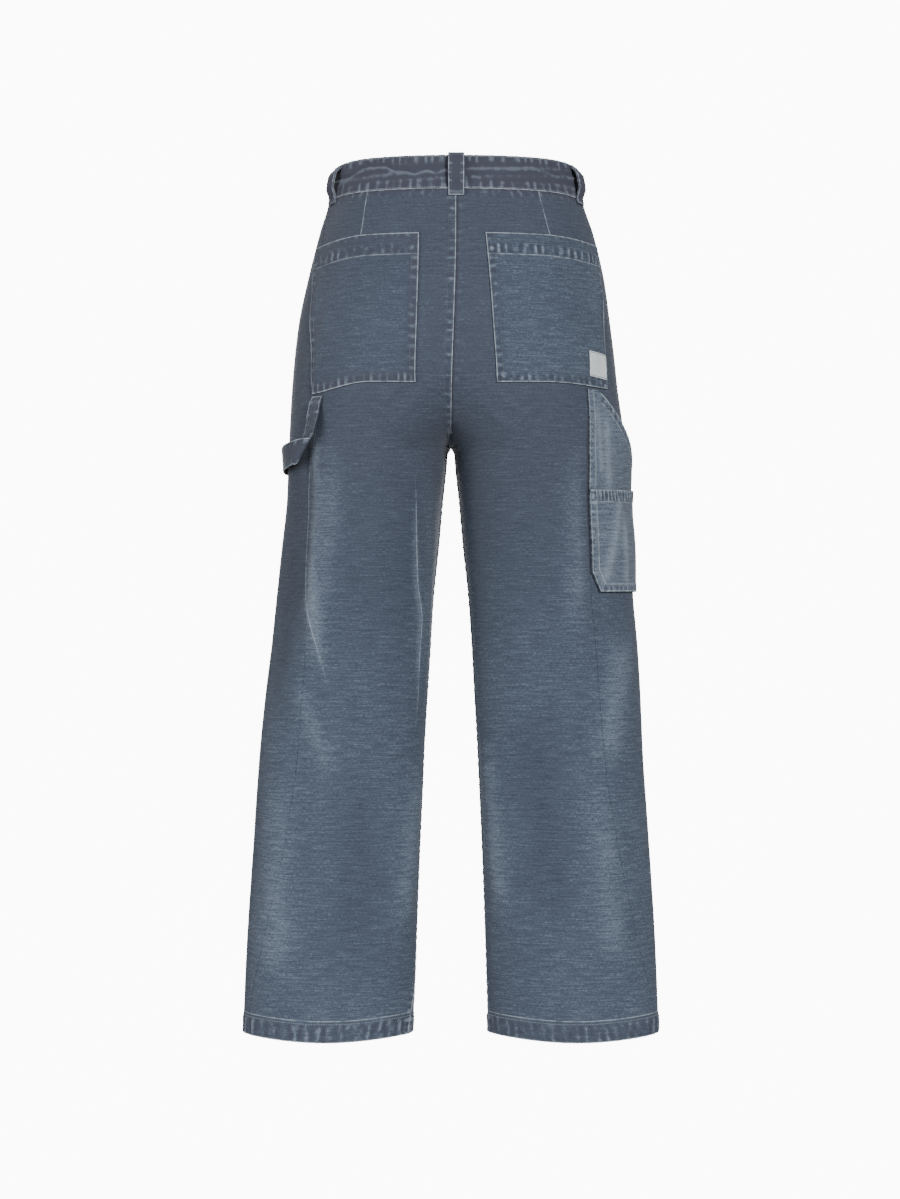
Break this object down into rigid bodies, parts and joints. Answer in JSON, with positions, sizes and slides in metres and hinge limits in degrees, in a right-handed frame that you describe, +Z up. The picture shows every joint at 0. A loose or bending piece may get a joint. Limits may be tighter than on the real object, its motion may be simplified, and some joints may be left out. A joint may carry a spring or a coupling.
{
  "type": "carpenter pants",
  "caption": "Straight-leg canvas work pants with patch back pockets, a hammer loop and tool pockets, filled out as worn.",
  "frame": {"origin": "middle of the waist opening, halfway up the waistband, where the wearer holds the pants up", "axes": "+Z up, -Y the way the front faces, +X to the wearer's left"},
  "size_m": [0.4852, 0.2548, 1.0127],
  "materials": {
    "washed_canvas": "washed blue-grey cotton canvas with pale worn edges",
    "label_tape": "matt off-white woven tape",
    "button_metal": "dull antique metal"
  },
  "bodies": {
    "root": {"back_left": "washed_canvas", "back_right": "washed_canvas", "front_left": "washed_canvas", "front_right": "washed_canvas", "waistband": "washed_canvas", "fly": "washed_canvas", "button": "button_metal", "belt_loop_back": "washed_canvas", "belt_loop_side_left": "washed_canvas", "belt_loop_side_right": "washed_canvas", "belt_loop_front_left": "washed_canvas", "belt_loop_front_right": "washed_canvas", "back_pocket_left": "washed_canvas", "back_pocket_right": "washed_canvas", "tool_pocket_upper": "washed_canvas", "tool_pocket_lower": "washed_canvas", "hammer_loop": "washed_canvas", "label": "label_tape"}
  },
  "joints": []
}
